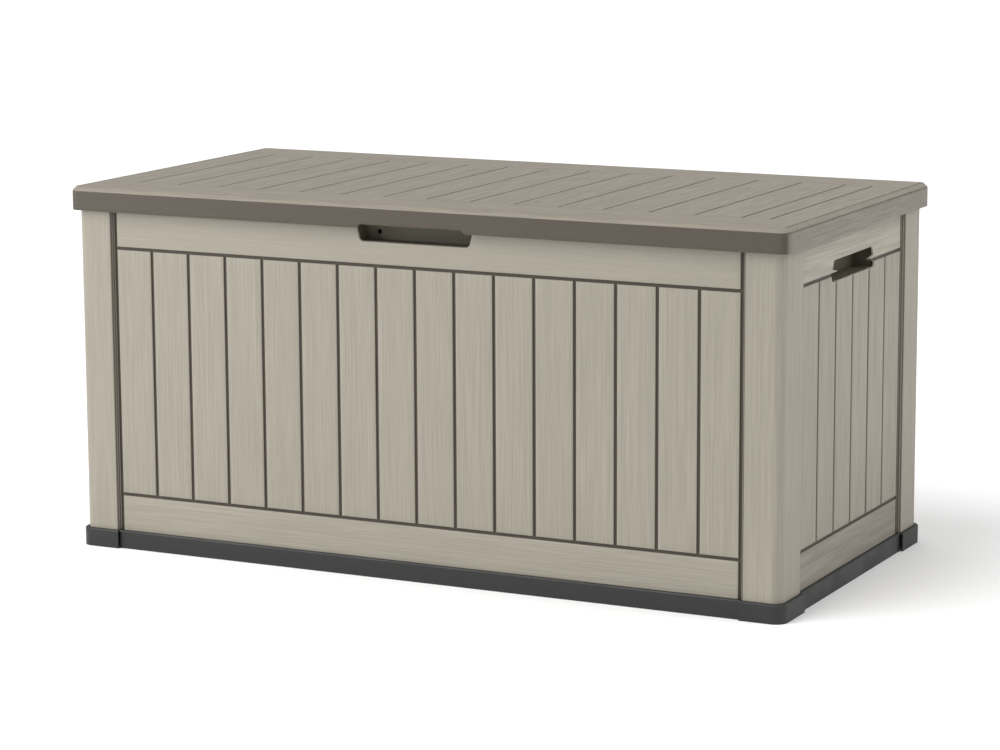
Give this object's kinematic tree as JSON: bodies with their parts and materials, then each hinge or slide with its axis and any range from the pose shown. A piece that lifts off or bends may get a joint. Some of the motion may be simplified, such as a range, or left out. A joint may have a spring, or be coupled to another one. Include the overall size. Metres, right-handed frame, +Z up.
{
  "type": "deck storage box",
  "caption": "Resin deck storage box with plank-pattern panels, corner posts, dark base tray, hand grips and a rear-hinged double-wall lid on gas struts.",
  "frame": {"origin": "middle of the footprint, on the ground under the base tray", "axes": "+X to the right seen from the front, -Y is the front with the hand recess, +Z up"},
  "size_m": [1.426, 0.714, 0.68],
  "materials": {
    "body_resin": "moulded wood grain, matte",
    "lid_resin": "moulded wood grain, matte",
    "base_resin": "fine moulded texture, matte",
    "grip_resin": "fine moulded texture, matte",
    "steel": "zinc plated",
    "rod_steel": "hard chrome",
    "bracket_steel": "black coating",
    "strut_paint": "satin black paint",
    "black_plastic": "moulded, matte"
  },
  "bodies": {
    "box": {"base_screws": "steel", "base_tray": "base_resin", "foot_bracket_screws": "steel", "front_grip_cup": "grip_resin", "front_left_post": "body_resin", "front_panel": "body_resin", "front_right_post": "body_resin", "hinge_pin_caps": "black_plastic", "hinge_pin_left": "steel", "hinge_pin_middle": "steel", "hinge_pin_right": "steel", "left_grip_cup": "grip_resin", "left_panel": "body_resin", "post_screws": "steel", "rear_left_post": "body_resin", "rear_panel": "body_resin", "rear_right_post": "body_resin", "right_grip_cup": "grip_resin", "right_panel": "body_resin", "strut_foot_bracket_left": "bracket_steel", "strut_foot_bracket_right": "bracket_steel"},
    "lid": {"lid_shell": "lid_resin", "lid_liner": "lid_resin", "lid_liner_screws": "steel", "lid_lock_tab": "lid_resin", "lock_tab_screws": "steel", "strut_lid_bracket_left": "bracket_steel", "strut_lid_bracket_right": "bracket_steel", "lid_bracket_screws": "steel"},
    "left_cylinder": {"strut_cylinder_left": "strut_paint"},
    "right_cylinder": {"strut_cylinder_right": "strut_paint"},
    "left_rod": {"strut_rod_left": "rod_steel"},
    "right_rod": {"strut_rod_right": "rod_steel"}
  },
  "joints": [
    {"name": "lid_hinge", "type": "hinge", "parent": "box", "child": "lid", "pos_m": [0, 0.35, 0.628], "axis": [-1, 0, 0], "range_deg": [0, 95]},
    {"name": "left_strut_tilt", "type": "hinge", "parent": "box", "child": "left_cylinder", "pos_m": [-0.664, 0.12, 0.35], "axis": [-1, 0, 0], "range_deg": [0, 15.6]},
    {"name": "left_strut_stroke", "type": "slide", "parent": "left_cylinder", "child": "left_rod", "axis": [0, 0.2659, 0.964], "range_m": [0, 0.1965]},
    {"name": "right_strut_tilt", "type": "hinge", "parent": "box", "child": "right_cylinder", "pos_m": [0.664, 0.12, 0.35], "axis": [-1, 0, 0], "range_deg": [0, 15.6]},
    {"name": "right_strut_stroke", "type": "slide", "parent": "right_cylinder", "child": "right_rod", "axis": [0, 0.2659, 0.964], "range_m": [0, 0.1965]}
  ],
  "couplings": [
    {"joint": "left_strut_tilt", "follows": "lid_hinge", "ratio": 0.16276},
    {"joint": "left_strut_stroke", "follows": "lid_hinge", "m_per_rad": 0.11821},
    {"joint": "right_strut_tilt", "follows": "lid_hinge", "ratio": 0.16276},
    {"joint": "right_strut_stroke", "follows": "lid_hinge", "m_per_rad": 0.11821}
  ]
}
